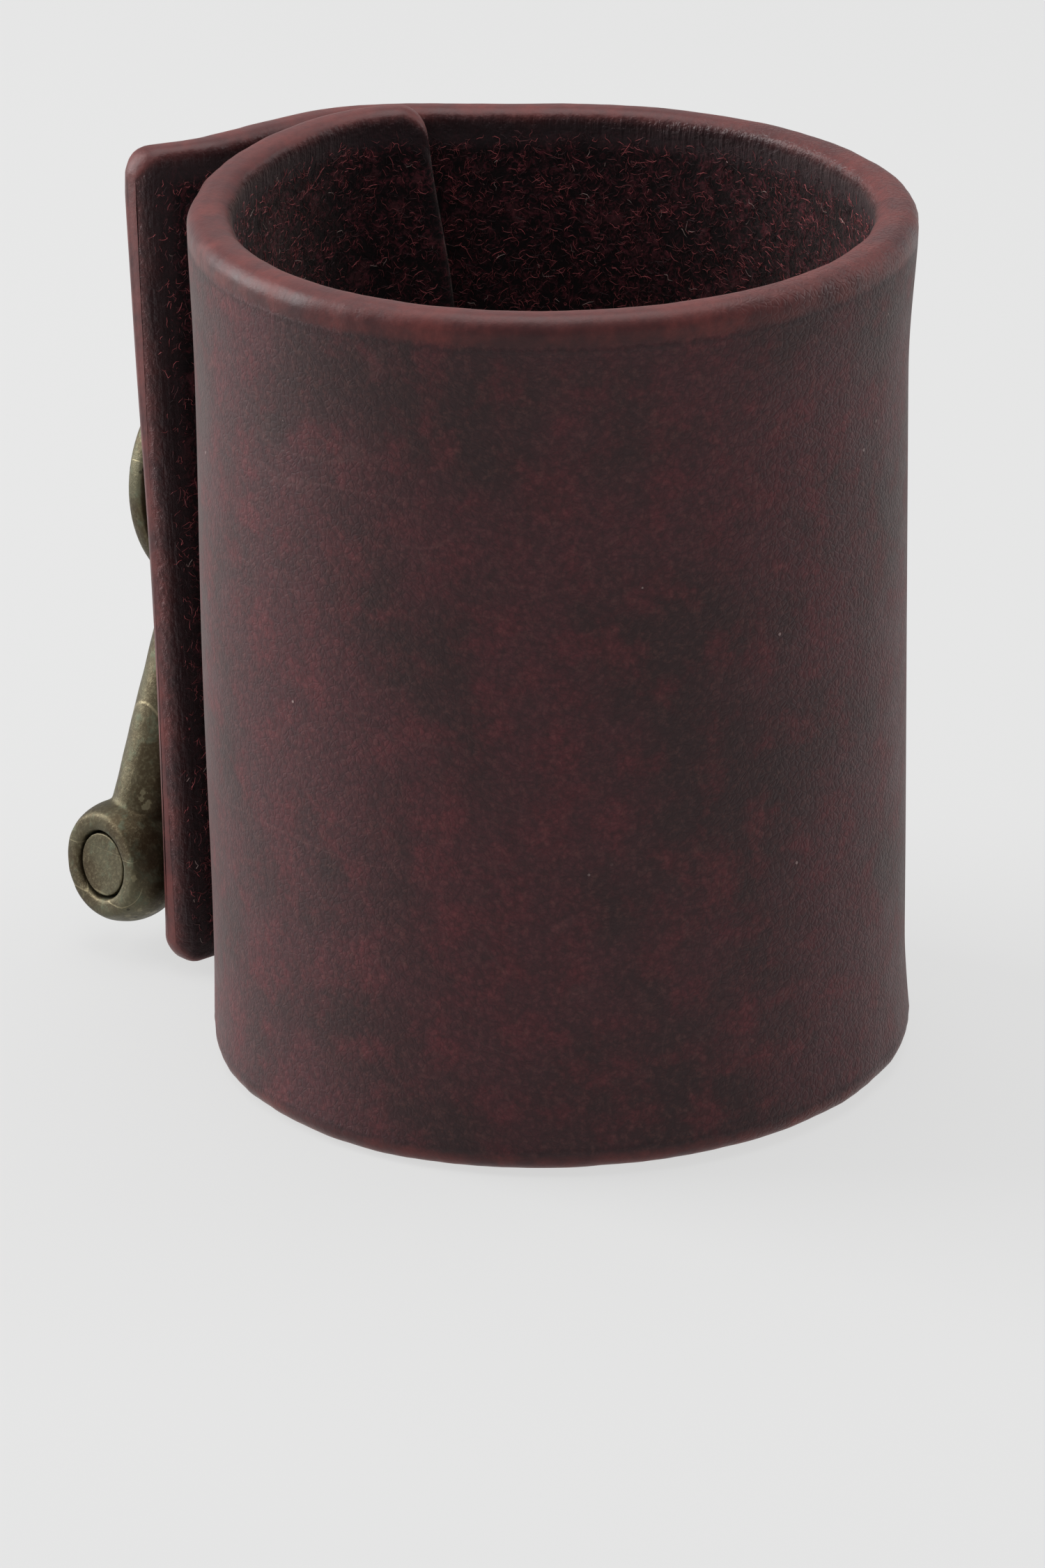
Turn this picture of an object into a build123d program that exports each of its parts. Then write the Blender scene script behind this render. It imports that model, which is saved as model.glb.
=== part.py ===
"""Thick leather strip rolled into an open sleeve, lapped and held by a mushroom stud, with a
shackle that hangs from the stud's neck.

Frame: +Z up along the sleeve, origin at the bottom centre of the whole object's box. The stud
points along +Y and the free end of the flap points to -X. Lengths are in millimetres. Pieces are
drawn about the sleeve's axis and moved into the frame when they are saved.
"""

import os
from math import acos, asin, atan2, cos, degrees, hypot, radians, sin, sqrt, tan

from build123d import *

# ---- driving dimensions: leather strip ----
sleeve_radius = 32.2  # outside radius of the main turn
sleeve_height = 80.2
leather_thickness = 4.0
flap_length = 18.0  # from the sleeve's centre line to the flap's free end
flap_rise = 4.7  # of the flat flap's outer face, where the stud sits, beyond the main turn
run_out_angle = 48.0  # where the strip leaves the main turn for the flap
lap_clearance = 0.12  # air between the two layers of the lap
inner_end_radius = 9.0  # centre-line radius of the inner end's dip under the flap
inner_end_turn = 35.0
inner_end_straight = 3.8
rim_fillet = 1.5
flap_corner_radius = 2.8

# ---- driving dimensions: stud ----
stud_x = 1.4
stud_z = 43.75
shank_radius = 2.6
hole_clearance = 0.1
neck_core_radius = 2.8
neck_length = 8.7
bush_wall = 0.7
bush_clearance = 0.05  # radial, between the bush and the core it turns on
bush_end_play = 0.15
washer_radius = 5.0
washer_thickness = 0.8
cap_radius = 13.0
cap_height = 5.0
cap_edge = 1.8  # straight side of the cap below its dome
cap_wall = 1.0
cap_rim_radius = 1.2
base_thickness = 1.5
rivet_radius = 4.2
rivet_height = 0.8
screw_radius = 1.6
screw_clearance = 0.03
screw_engagement = 5.5
screw_head_radius = 4.2
screw_head_height = 2.0
screw_head_chamfer = 0.4
slot_width = 1.2
slot_depth = 0.9
inner_washer_sink = 0.4  # how far the inner washer is let into the inside wall
clamp_gap = 0.5  # the shank stops this far short of the screw head

# ---- driving dimensions: shackle ----
rod_radius = 3.1
bow_clearance = 0.2  # between the bow and the neck bush it turns on
bow_height = 4.1  # centre of the bow above the flap's face
pin_height = 6.5  # centre of the pin above the flap's face
shackle_length = 36.5  # bow centre to pin centre
ear_span = 28.4  # between the centres of the two ears
ear_radius = 5.9
ear_thickness = 6.6
arm_inset = 0.8  # of each arm's foot, inwards from its ear's centre
hang_angle = 6.0  # how far the shackle hangs out of plumb, towards the flap's end
pin_radius = 3.03
pin_clearance = 0.07
pin_recess = 0.3
pin_chamfer = 0.2
pin_end_gap = 0.1  # between the pin's shoulder and the far ear
mouth_step = 0.2  # shallow relief round the pin's visible end
mouth_depth = 0.3
pin_tail_radius = 2.4  # threaded end in the far ear
pin_tail_length = 4.4
pin_tail_gap = 0.4  # empty end of the threaded hole
set_screw_radius = 1.25
set_screw_length = 2.2
set_screw_clearance = 0.04
set_screw_socket = 0.6

half = leather_thickness / 2
main_r = sleeve_radius - half  # centre line of the main turn
flap_face_y = sleeve_radius + flap_rise
mid_y = (flap_face_y + neck_length + cap_height - sleeve_radius) / 2  # middle of the whole object

os.makedirs("parts", exist_ok=True)


def save(part, name):
    """Move a finished piece into the frame, label it and write it to its own file."""
    placed = part.moved(Location((0, -mid_y, 0)))
    placed.label = name
    export_step(placed, f"parts/{name}.step")


def across_stud(height):
    """Plane square to the stud, at a height above the flap's outer face."""
    return Plane((stud_x, flap_face_y + height, stud_z), x_dir=(-1, 0, 0), z_dir=(0, 1, 0))


def stud_outline(*points):
    """Closed outline in the plane of the stud's axis, from (radius, height above the face)."""
    Polyline(*[(stud_x + r, flap_face_y + h) for r, h in points], close=True)


stud_plane = Plane.XY.offset(stud_z)
stud_axis = Axis((stud_x, 0, stud_z), (0, 1, 0))

# ---- leather_wrap: inner lap, main turn, run-out and flat flap, all one strip ----
# The inner turn shares the main turn's tangent at its -X side and slips under the flap. Its end
# dips a little more than the flap's bend does, so it stays clear of it.
inner_r = flap_face_y - leather_thickness - lap_clearance - half
inner_x = inner_r - main_r
run_out = radians(run_out_angle)
bend_turn = 90 - run_out_angle
# where the straight run-out, drawn on, would meet the flap's outer face
corner_x = (sleeve_radius - flap_face_y * sin(run_out)) / cos(run_out)
bend_outer_r = (corner_x - inner_x) / tan(radians(bend_turn / 2))
bend_y = flap_face_y - bend_outer_r
bend_mid_r = bend_outer_r - half
end_y = inner_r - inner_end_radius
end_angle = 90 - inner_end_turn


# heights above the flap's outer face: the inner washer's two sides and the shank's end
inner_seat_h = inner_r - half + inner_washer_sink - flap_face_y
head_seat_h = inner_seat_h - washer_thickness
shank_end_h = head_seat_h + clamp_gap


def polar(x, y, radius, angle):
    """Point at a radius and an angle in degrees from a centre."""
    return (x + radius * cos(radians(angle)), y + radius * sin(radians(angle)))


def inner_tip(offset):
    """Corner of the strip's inner end, on one of its faces."""
    x, y = polar(inner_x, end_y, inner_end_radius + offset, end_angle)
    along = radians(end_angle)
    return (x + inner_end_straight * sin(along), y - inner_end_straight * cos(along))


def strip_side(offset):
    """One face of the strip, from the inner end to the flap's free end."""
    Line(inner_tip(offset), polar(inner_x, end_y, inner_end_radius + offset, end_angle))
    CenterArc((inner_x, end_y), inner_end_radius + offset, end_angle, inner_end_turn)
    CenterArc((inner_x, 0), inner_r + offset, 90, 90)
    CenterArc((0, 0), main_r + offset, 180, 180 + run_out_angle)
    Line(
        polar(0, 0, main_r + offset, run_out_angle),
        polar(inner_x, bend_y, bend_mid_r + offset, run_out_angle),
    )
    CenterArc((inner_x, bend_y), bend_mid_r + offset, run_out_angle, bend_turn)
    Line((inner_x, flap_face_y - half + offset), (-flap_length, flap_face_y - half + offset))


with BuildPart() as leather_wrap:
    with BuildSketch():
        with BuildLine():
            strip_side(half)
            strip_side(-half)
            Line((-flap_length, flap_face_y - leather_thickness), (-flap_length, flap_face_y))
            Line(inner_tip(-half), inner_tip(half))
        make_face()
    extrude(amount=sleeve_height)
    end_faces = leather_wrap.faces().filter_by(GeomType.PLANE).filter_by(
        lambda f: abs(f.normal_at().Z) < 0.5 and abs(f.area - leather_thickness * sleeve_height) < 1
    )
    corners = end_faces.edges().filter_by(lambda e: e.length < leather_thickness * 1.1)
    fillet(corners, flap_corner_radius)
    # the rim is every edge but the short ones across the strip and the full-height seams
    rim = leather_wrap.edges().filter_by(
        lambda e: abs(e.length - leather_thickness) > 0.01 and abs(e.length - sleeve_height) > 0.01
    )
    fillet(rim, rim_fillet)
    with BuildSketch(across_stud(1)):
        Circle(shank_radius + hole_clearance)
    extrude(amount=-3 * leather_thickness, mode=Mode.SUBTRACT)
    with BuildSketch(across_stud(-washer_thickness)):
        Circle(washer_radius + hole_clearance)
    extrude(amount=leather_thickness, mode=Mode.SUBTRACT)
    with BuildSketch(across_stud(inner_seat_h)):
        Circle(washer_radius + hole_clearance)
    extrude(amount=-leather_thickness, mode=Mode.SUBTRACT)
save(leather_wrap.part, "leather_wrap")

# ---- stud: flap washer, neck core with its shank, neck bush, cap shell and cap base ----
with BuildPart() as flap_washer:
    with BuildSketch(across_stud(-washer_thickness)):
        Circle(washer_radius)
        Circle(shank_radius + hole_clearance, mode=Mode.SUBTRACT)
    extrude(amount=washer_thickness)
save(flap_washer.part, "flap_washer")

base_h = neck_length
base_top_h = base_h + base_thickness

with BuildPart() as stud_core:
    with BuildSketch(stud_plane):
        with BuildLine():
            stud_outline(
                (0, shank_end_h),
                (shank_radius, shank_end_h),
                (shank_radius, 0),
                (neck_core_radius, 0),
                (neck_core_radius, base_top_h),
                (rivet_radius, base_top_h),
                (rivet_radius - rivet_height / 2, base_top_h + rivet_height),
                (0, base_top_h + rivet_height),
            )
        make_face()
    revolve(axis=stud_axis)
    with BuildSketch(across_stud(shank_end_h)):
        Circle(screw_radius + screw_clearance)
    extrude(amount=screw_engagement + clamp_gap, mode=Mode.SUBTRACT)
save(stud_core.part, "stud_core")

bush_radius = neck_core_radius + bush_clearance + bush_wall
with BuildPart() as neck_bush:
    with BuildSketch(across_stud(bush_end_play)):
        Circle(bush_radius)
        Circle(neck_core_radius + bush_clearance, mode=Mode.SUBTRACT)
    extrude(amount=neck_length - 2 * bush_end_play)
save(neck_bush.part, "neck_bush")

with BuildPart() as cap_base:
    with BuildSketch(across_stud(base_h)):
        Circle(cap_radius - cap_wall)
        Circle(neck_core_radius, mode=Mode.SUBTRACT)
    extrude(amount=base_thickness)
save(cap_base.part, "cap_base")


def dome(radius, edge_h, top_h):
    """Half outline of a solid dome with a straight side, closed along the stud's axis."""
    top = (stud_x, flap_face_y + top_h)
    edge = (stud_x + radius, flap_face_y + edge_h)
    foot = (stud_x + radius, flap_face_y + base_h)
    rise = top_h - edge_h
    dome_r = (radius**2 + rise**2) / (2 * rise)
    RadiusArc(edge, top, -dome_r)
    Line(edge, foot)
    Line(foot, (stud_x, flap_face_y + base_h))
    Line((stud_x, flap_face_y + base_h), top)


with BuildPart() as cap_shell:
    with BuildSketch(stud_plane):
        with BuildLine():
            dome(cap_radius, base_h + cap_edge, base_h + cap_height)
        make_face()
    revolve(axis=stud_axis)
    shoulder = cap_shell.edges().filter_by(GeomType.CIRCLE).filter_by(
        lambda e: abs(e.radius - cap_radius) < 1e-3
    ).sort_by(Axis.Y)
    fillet(shoulder[-1], cap_rim_radius)
    fillet(shoulder[0], cap_wall / 2)
    with BuildSketch(stud_plane):
        with BuildLine():
            dome(cap_radius - cap_wall, base_h + cap_edge - cap_wall / 4, base_h + cap_height - cap_wall)
        make_face()
    revolve(axis=stud_axis, mode=Mode.SUBTRACT)
save(cap_shell.part, "cap_shell")

# ---- screw side: flat washer let into the inside wall, and the slotted screw ----
with BuildPart() as inner_washer:
    with BuildSketch(across_stud(head_seat_h)):
        Circle(washer_radius)
        Circle(shank_radius + hole_clearance, mode=Mode.SUBTRACT)
    extrude(amount=washer_thickness)
save(inner_washer.part, "inner_washer")

with BuildPart() as stud_screw:
    with BuildSketch(across_stud(head_seat_h)):
        Circle(screw_head_radius)
    extrude(amount=-screw_head_height)
    chamfer(stud_screw.edges().sort_by(Axis.Y)[0], screw_head_chamfer)
    with BuildSketch(across_stud(head_seat_h)):
        Circle(screw_radius)
    extrude(amount=clamp_gap + screw_engagement)
    with BuildSketch(across_stud(head_seat_h - screw_head_height)):
        Rectangle(3 * screw_head_radius, slot_width)
    extrude(amount=slot_depth, mode=Mode.SUBTRACT)
save(stud_screw.part, "stud_screw")

# ---- shackle: bow with two round ears, the cross pin, and the screw that locks the pin ----
# its plane hangs hang_angle out of plumb and leans away from the flap towards the pin
lean = asin((pin_height - bow_height) / shackle_length)
hang = radians(hang_angle)
to_flap_end = Vector(-cos(hang), 0, sin(hang))
up_shackle = Vector(sin(hang) * cos(lean), -sin(lean), cos(hang) * cos(lean))
bow_centre = (stud_x, flap_face_y + bow_height, stud_z)
shackle_plane = Plane(bow_centre, x_dir=to_flap_end, z_dir=to_flap_end.cross(up_shackle))

bow_r = bush_radius + bow_clearance + rod_radius
ear_x = ear_span / 2
ear_flat_radius = sqrt(ear_radius**2 - (ear_thickness / 2) ** 2)  # of each ear's flat sides
# each arm runs straight from its ear and touches the bow's arc
foot_x = ear_x - arm_inset
arm_turn = degrees(acos(bow_r / hypot(foot_x, shackle_length)) - atan2(shackle_length, foot_x))


def pin_plane(distance):
    """Plane square to the pin, at a distance along it from the shackle's centre line."""
    origin = shackle_plane.from_local_coords(Vector(distance, -shackle_length, 0))
    return Plane(origin, x_dir=shackle_plane.z_dir, z_dir=shackle_plane.x_dir)


def set_screw_plane(distance):
    """Plane square to the locking screw, at a distance below the pin's axis in the far ear."""
    origin = shackle_plane.from_local_coords(Vector(-ear_x, -shackle_length - distance, 0))
    return Plane(origin, x_dir=shackle_plane.x_dir, z_dir=-shackle_plane.y_dir)


ear_outside = ear_x + ear_thickness / 2
tail_start = -ear_x + ear_thickness / 2 + pin_end_gap

with BuildPart() as shackle_bow:
    with BuildLine(shackle_plane) as rod_path:
        Line((foot_x, -shackle_length), polar(0, 0, bow_r, arm_turn))
        CenterArc((0, 0), bow_r, arm_turn, 180 - 2 * arm_turn)
        Line(polar(0, 0, bow_r, 180 - arm_turn), (-foot_x, -shackle_length))
    with BuildSketch(Plane(rod_path.line @ 0, z_dir=rod_path.line % 0)):
        Circle(rod_radius)
    sweep(path=rod_path.line)
    for centre_x in (-ear_x, ear_x):
        with BuildSketch(shackle_plane):
            with BuildLine():
                low = (centre_x - ear_thickness / 2, ear_flat_radius - shackle_length)
                high = (centre_x + ear_thickness / 2, ear_flat_radius - shackle_length)
                ThreePointArc(low, (centre_x, ear_radius - shackle_length), high)
                Polyline(high, (high[0], -shackle_length), (low[0], -shackle_length), low)
            make_face()
        revolve(axis=Axis(pin_plane(0).origin, shackle_plane.x_dir))
    # bore through the near ear, threaded blind hole in the far ear, and its locking screw's hole
    with BuildSketch(pin_plane(tail_start - pin_end_gap)):
        Circle(pin_radius + pin_clearance)
    extrude(amount=2 * ear_span, mode=Mode.SUBTRACT)
    with BuildSketch(pin_plane(ear_outside - mouth_depth)):
        Circle(pin_radius + pin_clearance + mouth_step)
    extrude(amount=ear_thickness, mode=Mode.SUBTRACT)
    with BuildSketch(pin_plane(tail_start)):
        Circle(pin_tail_radius)
    extrude(amount=-pin_tail_length - pin_tail_gap, mode=Mode.SUBTRACT)
    with BuildSketch(set_screw_plane(pin_tail_radius)):
        Circle(set_screw_radius + set_screw_clearance)
    extrude(amount=ear_radius, mode=Mode.SUBTRACT)
save(shackle_bow.part, "shackle_bow")

with BuildPart() as shackle_pin:
    with BuildSketch(pin_plane(tail_start)):
        Circle(pin_radius)
    extrude(amount=ear_outside - pin_recess - tail_start)
    chamfer(shackle_pin.edges().filter_by(GeomType.CIRCLE), pin_chamfer)
    with BuildSketch(pin_plane(tail_start)):
        Circle(pin_tail_radius)
    extrude(amount=-pin_tail_length)
save(shackle_pin.part, "shackle_pin")

with BuildPart() as set_screw:
    with BuildSketch(set_screw_plane(pin_tail_radius)):
        Circle(set_screw_radius)
    extrude(amount=set_screw_length)
    with BuildSketch(set_screw_plane(pin_tail_radius + set_screw_length)):
        RegularPolygon(set_screw_radius * 0.6, 6)
    extrude(amount=-set_screw_socket, mode=Mode.SUBTRACT)
save(set_screw.part, "pin_set_screw")
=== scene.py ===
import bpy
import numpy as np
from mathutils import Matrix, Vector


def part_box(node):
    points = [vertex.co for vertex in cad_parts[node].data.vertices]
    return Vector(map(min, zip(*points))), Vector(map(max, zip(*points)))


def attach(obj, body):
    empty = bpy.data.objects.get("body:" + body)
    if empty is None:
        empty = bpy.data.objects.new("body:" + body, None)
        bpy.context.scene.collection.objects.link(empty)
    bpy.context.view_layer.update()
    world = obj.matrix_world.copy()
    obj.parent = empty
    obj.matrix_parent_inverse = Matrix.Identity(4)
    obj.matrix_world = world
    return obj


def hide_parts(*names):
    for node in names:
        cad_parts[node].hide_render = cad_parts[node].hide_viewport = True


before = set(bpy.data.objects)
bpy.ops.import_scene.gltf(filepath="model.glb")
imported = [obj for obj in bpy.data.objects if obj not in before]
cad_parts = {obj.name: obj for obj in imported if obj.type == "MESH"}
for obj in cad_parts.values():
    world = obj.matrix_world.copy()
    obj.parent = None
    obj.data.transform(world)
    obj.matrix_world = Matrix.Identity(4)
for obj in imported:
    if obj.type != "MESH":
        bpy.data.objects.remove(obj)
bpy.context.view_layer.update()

# %% [markdown]
# # A leather roll sleeve with a stud and shackle
# One thick strip of waxed leather is rolled into an open sleeve. Its flap laps over its inner end,
# a mushroom stud holds the two together, and a shackle hangs from the stud's neck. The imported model
# gives every size and place. This lesson replaces the plain leather solid with a surface that has
# rounded burnished rims and a napped inside, and gives the brass its worn, cast look.

MM = 0.001
rng = np.random.default_rng(7)
wrap_low, wrap_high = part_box("leather_wrap")
cap_low, cap_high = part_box("cap_shell")
stud_x = (cap_low.x + cap_high.x) / 2
stud_z = (cap_low.z + cap_high.z) / 2
flap_face_y = wrap_high.y
sleeve_radius = wrap_high.x
sleeve_height = wrap_high.z
axis_y = (wrap_low.y + sleeve_radius) / MM  # the sleeve's axis stands behind the frame's origin
room_turn = np.radians(42.0)  # the object stands turned by this much to the room
print("sleeve", round(sleeve_radius / MM, 2), "x", round(sleeve_height / MM, 2), "mm")

# %% [markdown]
# ## Meshes from arrays
# Every new piece is a grid of points: rows run along the piece and columns run round it. One helper
# turns such a grid into a mesh, joins its columns into a closed ring, and closes the two ends.
# Shapes are worked out in millimetres about the sleeve's axis, and only the last step before the
# mesh turns them into metres in the frame.


# %% A grid of points becomes a closed mesh
def ring_faces(rows, columns, first=0):
    """Quads between neighbouring rows, where the last column joins the first: corner (i, j), then
    (i, j+1), (i+1, j+1) and (i+1, j)."""
    i, j = np.meshgrid(np.arange(rows - 1), np.arange(columns), indexing="ij")
    k = (j + 1) % columns
    quads = np.stack([i * columns + j, i * columns + k, (i + 1) * columns + k, (i + 1) * columns + j], -1)
    return quads.reshape(-1, 4) + first


def new_piece(name, points, faces, body, smooth=True):
    """A mesh object at the origin, shaded smooth, that rides on a body. Points are in millimetres
    about the sleeve's axis: (x, y + axis_y, z) / 1000 in the frame."""
    mesh = bpy.data.meshes.new(name)
    mesh.from_pydata(((points + [0, axis_y, 0]) * MM).tolist(), [], faces)
    mesh.polygons.foreach_set("use_smooth", np.full(len(mesh.polygons), smooth))
    piece = bpy.data.objects.new(name, mesh)
    bpy.context.scene.collection.objects.link(piece)
    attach(piece, body)
    return piece


def tube(grid):
    """Points and faces of a closed shell: rings of points, with a centre point closing each end."""
    rows, columns = grid.shape[:2]
    points = np.vstack([grid.reshape(-1, 3), grid[0].mean(0), grid[-1].mean(0)])
    faces = ring_faces(rows, columns).tolist()
    j = np.arange(columns)
    k = (j + 1) % columns
    last = (rows - 1) * columns
    start, end = rows * columns, rows * columns + 1
    faces += np.stack([np.full(columns, start), k, j], -1).tolist()
    faces += np.stack([np.full(columns, end), last + j, last + k], -1).tolist()
    return points, faces


def add_attribute(piece, name, values):
    """Writes one number for each vertex, for a material to read."""
    layer = piece.data.attributes.new(name, "FLOAT", "POINT")
    layer.data.foreach_set("value", np.asarray(values, np.float32))


# %% [markdown]
# ## The line that the strip follows
# Seen from above, the middle of the strip is a chain of arcs and straight runs. It starts at the
# hidden inner end, dips away from the flap, goes once round the sleeve, and runs out straight into
# the flat flap. The chain touches the same circles as the CAD solid, so it stays in its place.

# %% Arcs and runs, in millimetres until the last line
leather = 4.0
half = leather / 2
face_y = flap_face_y / MM - axis_y
outer_r = sleeve_radius / MM
flap_end_x = -18.0
run_out_angle = 48.0
inner_end_radius, inner_end_turn, inner_end_straight = 9.0, 35.0, 3.8
lap_clearance = 0.12
main_r = outer_r - half
inner_r = face_y - leather - lap_clearance - half
inner_x = inner_r - main_r
corner_x = (outer_r - face_y * np.sin(np.radians(run_out_angle))) / np.cos(np.radians(run_out_angle))
bend_r = (corner_x - inner_x) / np.tan(np.radians((90 - run_out_angle) / 2)) - half
bend_y = face_y - half - bend_r


def arc(x, y, radius, first, last, count=80):
    """Points at (x + r cos a, y + r sin a), for angles a from first to last."""
    a = np.radians(np.linspace(first, last, count))
    return np.stack([x + radius * np.cos(a), y + radius * np.sin(a)], -1)


end_angle = 90 - inner_end_turn
dip = arc(inner_x, inner_r - inner_end_radius, inner_end_radius, end_angle, 90)
tangent = np.array([-np.sin(np.radians(end_angle)), np.cos(np.radians(end_angle))])
chain = np.vstack([
    dip[0] - tangent * inner_end_straight,
    dip,
    arc(inner_x, 0, inner_r, 90, 180),
    arc(0, 0, main_r, 180, 360 + run_out_angle, 200),
    arc(inner_x, bend_y, bend_r, run_out_angle, 90),
    [flap_end_x, face_y - half],
])
steps = np.linalg.norm(np.diff(chain, axis=0), axis=1)
along = np.concatenate([[0], np.cumsum(steps)])
strip_length = along[-1]
print("the strip is", round(strip_length, 1), "mm long")

# %% [markdown]
# The line is read at chosen distances from the inner end. They are close together at the two ends,
# where the strip's corners are rounded, and even between them. A short running average takes the
# sudden change of curvature out of the joints, because thick leather can't bend abruptly.


# %% Places and outward directions along the line
def strip_line(distance):
    """Middle-line points and outward unit normals: the tangent turned a quarter turn right."""
    window = np.linspace(-3.0, 3.0, 13)
    spread = np.clip(distance[:, None] + window, 0, strip_length)
    centre = np.stack([np.interp(spread, along, chain[:, c]).mean(1) for c in (0, 1)], -1)
    ahead = np.clip(distance + 0.4, 0, strip_length)
    behind = np.clip(distance - 0.4, 0, strip_length)
    t = np.stack([np.interp(ahead, along, chain[:, c]) - np.interp(behind, along, chain[:, c]) for c in (0, 1)], -1)
    kernel = np.hanning(9)[:, None] / np.hanning(9).sum()
    padded = np.vstack([np.repeat(t[:1], 4, 0), t, np.repeat(t[-1:], 4, 0)])
    t = np.stack([np.convolve(padded[:, c], kernel[:, 0], "valid") for c in (0, 1)], -1)
    t /= np.linalg.norm(t, axis=1, keepdims=True)
    exact = np.stack([np.interp(distance, along, chain[:, c]) for c in (0, 1)], -1)
    near_end = np.minimum(distance, strip_length - distance)[:, None]
    blend = np.clip(near_end / 6.0, 0, 1)
    return exact + (centre - exact) * blend, np.stack([t[:, 1], -t[:, 0]], -1)


corner_r = 2.6
end_steps = corner_r * (1 - np.cos(np.linspace(0, np.pi / 2, 10)))
middle = np.linspace(corner_r, strip_length - corner_r, 300)
distance = np.concatenate([end_steps[:-1], middle, (strip_length - end_steps[:-1])[::-1]])
distance[0], distance[-1] = 0.02, strip_length - 0.02
centre_line, outward = strip_line(distance)
print(len(distance), "rings along the strip")

# %% [markdown]
# ## The cross-section
# Each ring is a tall thin rectangle with round corners. Leather cut from a hide and worn in the hand
# is never exact, so four slow changes are laid over it: both rims flare outwards, the waist draws
# in, the lapped ends climb a little, and the free end of the flap curls away at its top.


# %% Slow irregularity as a sum of sine waves
def ripple(a, b, scale, count=7, seed=1):
    """Sum of sin(p a + q b + r) with random p, q and r, divided by the square root of the count."""
    random = np.random.default_rng(seed)
    total = np.zeros(np.broadcast(a, b).shape)
    for p, q, r in zip(random.normal(0, scale, count), random.normal(0, scale, count), random.uniform(0, 6.28, count)):
        total = total + np.sin(p * a + q * b + r)
    return total / np.sqrt(count)


def ease(value, low, high):
    """Smooth step from 0 at low to 1 at high."""
    t = np.clip((value - low) / (high - low), 0, 1)
    return t * t * (3 - 2 * t)


# %% One ring of the strip: its half thickness, edges and round corners
rim_r = 1.65
side_count, corner_count, edge_count = 92, 8, 3
height = sleeve_height / MM
from_end = np.minimum(distance, strip_length - distance)
inset = corner_r - np.sqrt(np.maximum(corner_r**2 - (corner_r - np.minimum(from_end, corner_r)) ** 2, 0))
end_r = np.where(distance < strip_length / 2, 0.6, rim_r)  # the hidden end was only cut, not rounded
end_round = np.maximum(end_r - from_end, 0)
half_thick = half - end_r + np.sqrt(np.maximum(end_r**2 - end_round**2, 0))
half_thick += 0.05 * ripple(distance, 0, 0.12, seed=3)
climb_inner = 1.8 * (1 - ease(distance, 0, 46))
climb_flap = 0.9 * ease(distance, strip_length - 42, strip_length - 8)
room_x = np.cos(room_turn) * centre_line[:, 0] - np.sin(room_turn) * centre_line[:, 1]
lift = 0.75 * ease(room_x, -26, 30) * ease(distance, 20, 60)
top = height + climb_inner + climb_flap - inset + 0.12 * ripple(distance, 0, 0.07, seed=5)
bottom = climb_flap + lift + inset + 0.10 * np.abs(ripple(distance, 0, 0.07, seed=6))
bottom = np.maximum(bottom, 0.0)
r = np.minimum(rim_r, np.maximum(half_thick - 0.02, 0.05))

quarter = np.linspace(0, np.pi / 2, corner_count + 1)[1:-1]
upward = np.linspace(0, 1, side_count)
flat = np.linspace(0, 1, edge_count)


def column(n, z):
    """Adds one column of the ring to the lists of offsets and heights."""
    offsets.append(np.broadcast_to(n, distance.shape))
    heights.append(np.broadcast_to(z, distance.shape))


offsets, heights = [], []
for u in upward:
    column(half_thick, bottom + r + u * (top - bottom - 2 * r))
for a in quarter:
    column(half_thick - r + r * np.cos(a), top - r + r * np.sin(a))
for u in flat:
    column((half_thick - r) * (1 - 2 * u), top)
for a in quarter[::-1]:
    column(-half_thick + r - r * np.cos(a), top - r + r * np.sin(a))
for u in upward[::-1]:
    column(-half_thick, bottom + r + u * (top - bottom - 2 * r))
for a in quarter:
    column(-half_thick + r - r * np.cos(a), bottom + r - r * np.sin(a))
for u in flat:
    column((half_thick - r) * (2 * u - 1), bottom)
for a in quarter[::-1]:
    column(half_thick - r + r * np.cos(a), bottom + r - r * np.sin(a))
offset = np.stack(offsets, 1)
z = np.stack(heights, 1)
s = np.repeat(distance[:, None], offset.shape[1], 1)
print("each ring has", offset.shape[1], "points")

# %% Flares, waist, curl and hand-worn unevenness, all along the outward direction
from_top = top[:, None] - z
from_bottom = z - bottom[:, None]
round_trip = ease(s, 40, 60) * (1 - ease(s, strip_length - 45, strip_length - 25))
flare = 0.85 * (1 - ease(from_top, 0, 17)) ** 1.4 + 0.50 * (1 - ease(from_bottom, 0, 11)) ** 1.4
shift = (flare - 0.42 * (1 - 0.4 * (1 - round_trip))) * (0.25 + 0.75 * round_trip)
curl = ease(s, strip_length - 8.5, strip_length + 1.5)  # only the flap's last stretch, clear of the shackle
shift = shift + 2.4 * curl * ease(z, 10, height + 10)
shift = shift + 0.10 * ripple(s, z, 0.09, seed=8) * ease(s, 4, 14)
rim_zone = 1 - ease(np.minimum(from_top, from_bottom), 1.2, 3.2)
pucker = ripple(s, z * 0.2, 2.2, 9, seed=11) * 0.035 + ripple(s, z, 0.55, 8, seed=12) * 0.05
shift = shift + pucker * rim_zone
forward = np.stack([-outward[:, 1], outward[:, 0]], -1)
slant = 2.2 * (1 - ease(z, height - 20, height + 2)) * (1 - ease(s, 0, 14))
place = centre_line[:, None, :] + outward[:, None, :] * (offset + shift - 0.55 * slant)[..., None]
place = place - forward[:, None, :] * slant[..., None]
grid = np.concatenate([place, z[..., None]], -1)

# %% The strip's mesh, with its sides told apart by attributes
points, faces = tube(grid)
wrap = new_piece("rolled_leather", points, faces, "wrap")
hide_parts("leather_wrap")


def per_vertex(values):
    """Flattens a grid of numbers and adds one for each end's centre point."""
    return np.concatenate([values.reshape(-1), values[0].mean(keepdims=True), values[-1].mean(keepdims=True)])


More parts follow.
